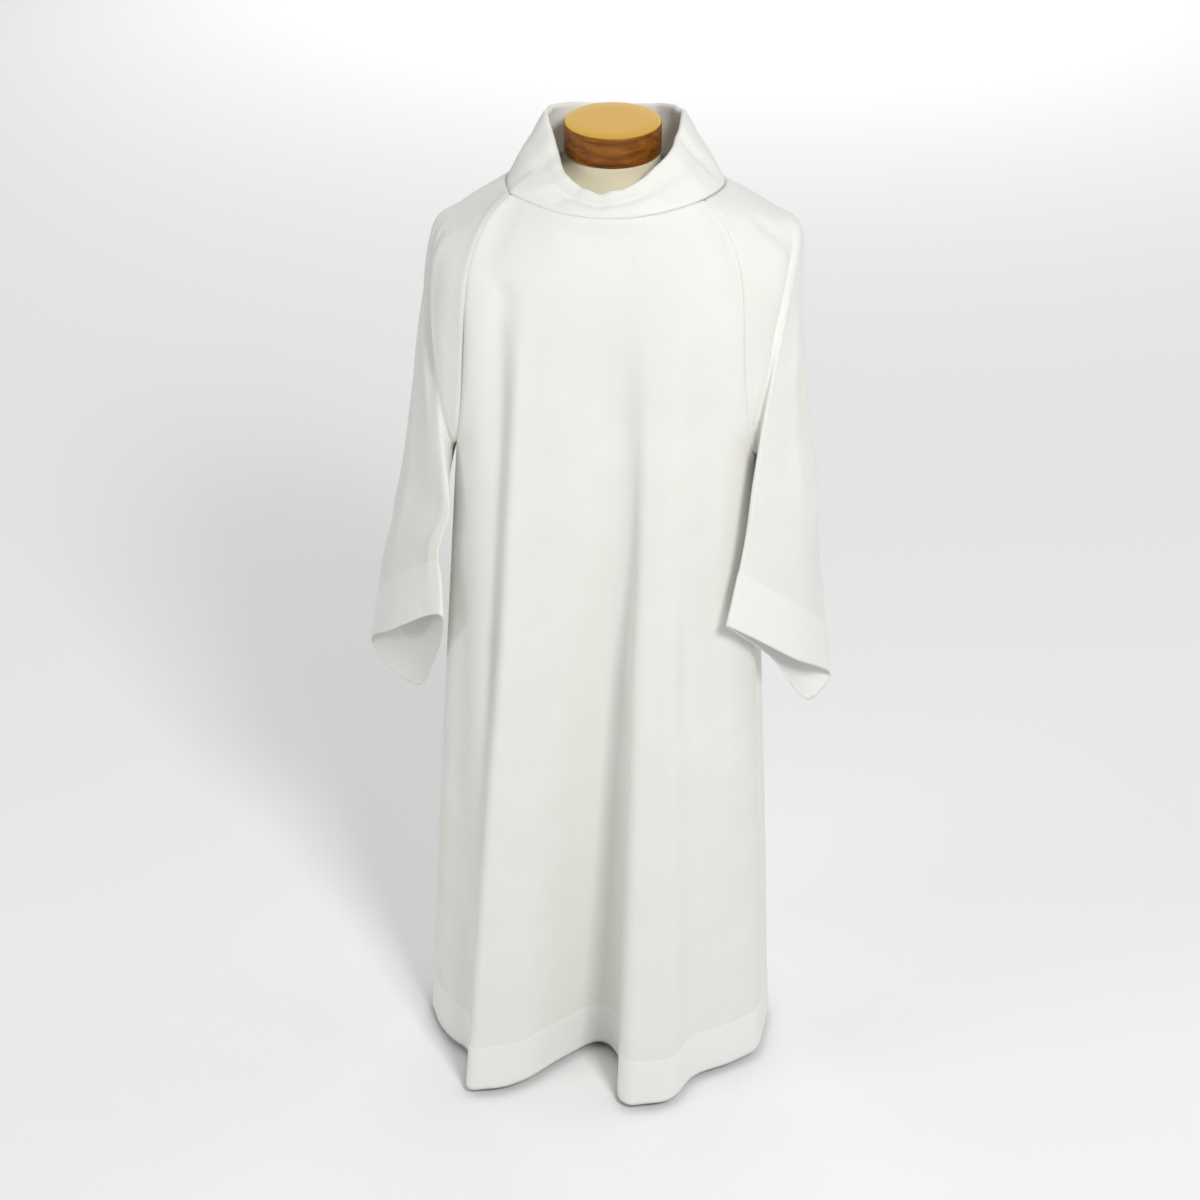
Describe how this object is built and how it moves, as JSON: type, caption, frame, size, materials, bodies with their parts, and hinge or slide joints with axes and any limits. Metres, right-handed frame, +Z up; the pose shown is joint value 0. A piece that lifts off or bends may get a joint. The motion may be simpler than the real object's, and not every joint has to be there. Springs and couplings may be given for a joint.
{
  "type": "alb on dress form",
  "caption": "Plain full-length alb with raglan sleeves and a high open funnel collar, worn by a limbless dress form on a stand.",
  "frame": {"origin": "centre of the underside of the stand's foot, on the floor", "axes": "+Z up along the pole, -Y towards the front of the garment, +X towards the wearer's left"},
  "size_m": [0.665, 0.3778, 1.4204],
  "materials": {
    "alb_cloth": "matte plain-woven ivory white vestment cloth",
    "jersey": "cream cotton jersey stretched over the form",
    "varnished_wood": "golden brown wood under clear gloss varnish",
    "steel": "satin steel tube",
    "black_paint": "black powder coat"
  },
  "bodies": {
    "root": {"stand_foot": "black_paint", "stand_pole": "steel", "form_torso": "jersey", "form_neck_cap": "varnished_wood", "alb_front": "alb_cloth", "alb_back": "alb_cloth", "alb_sleeve_left": "alb_cloth", "alb_sleeve_right": "alb_cloth", "alb_collar": "alb_cloth"}
  },
  "joints": []
}
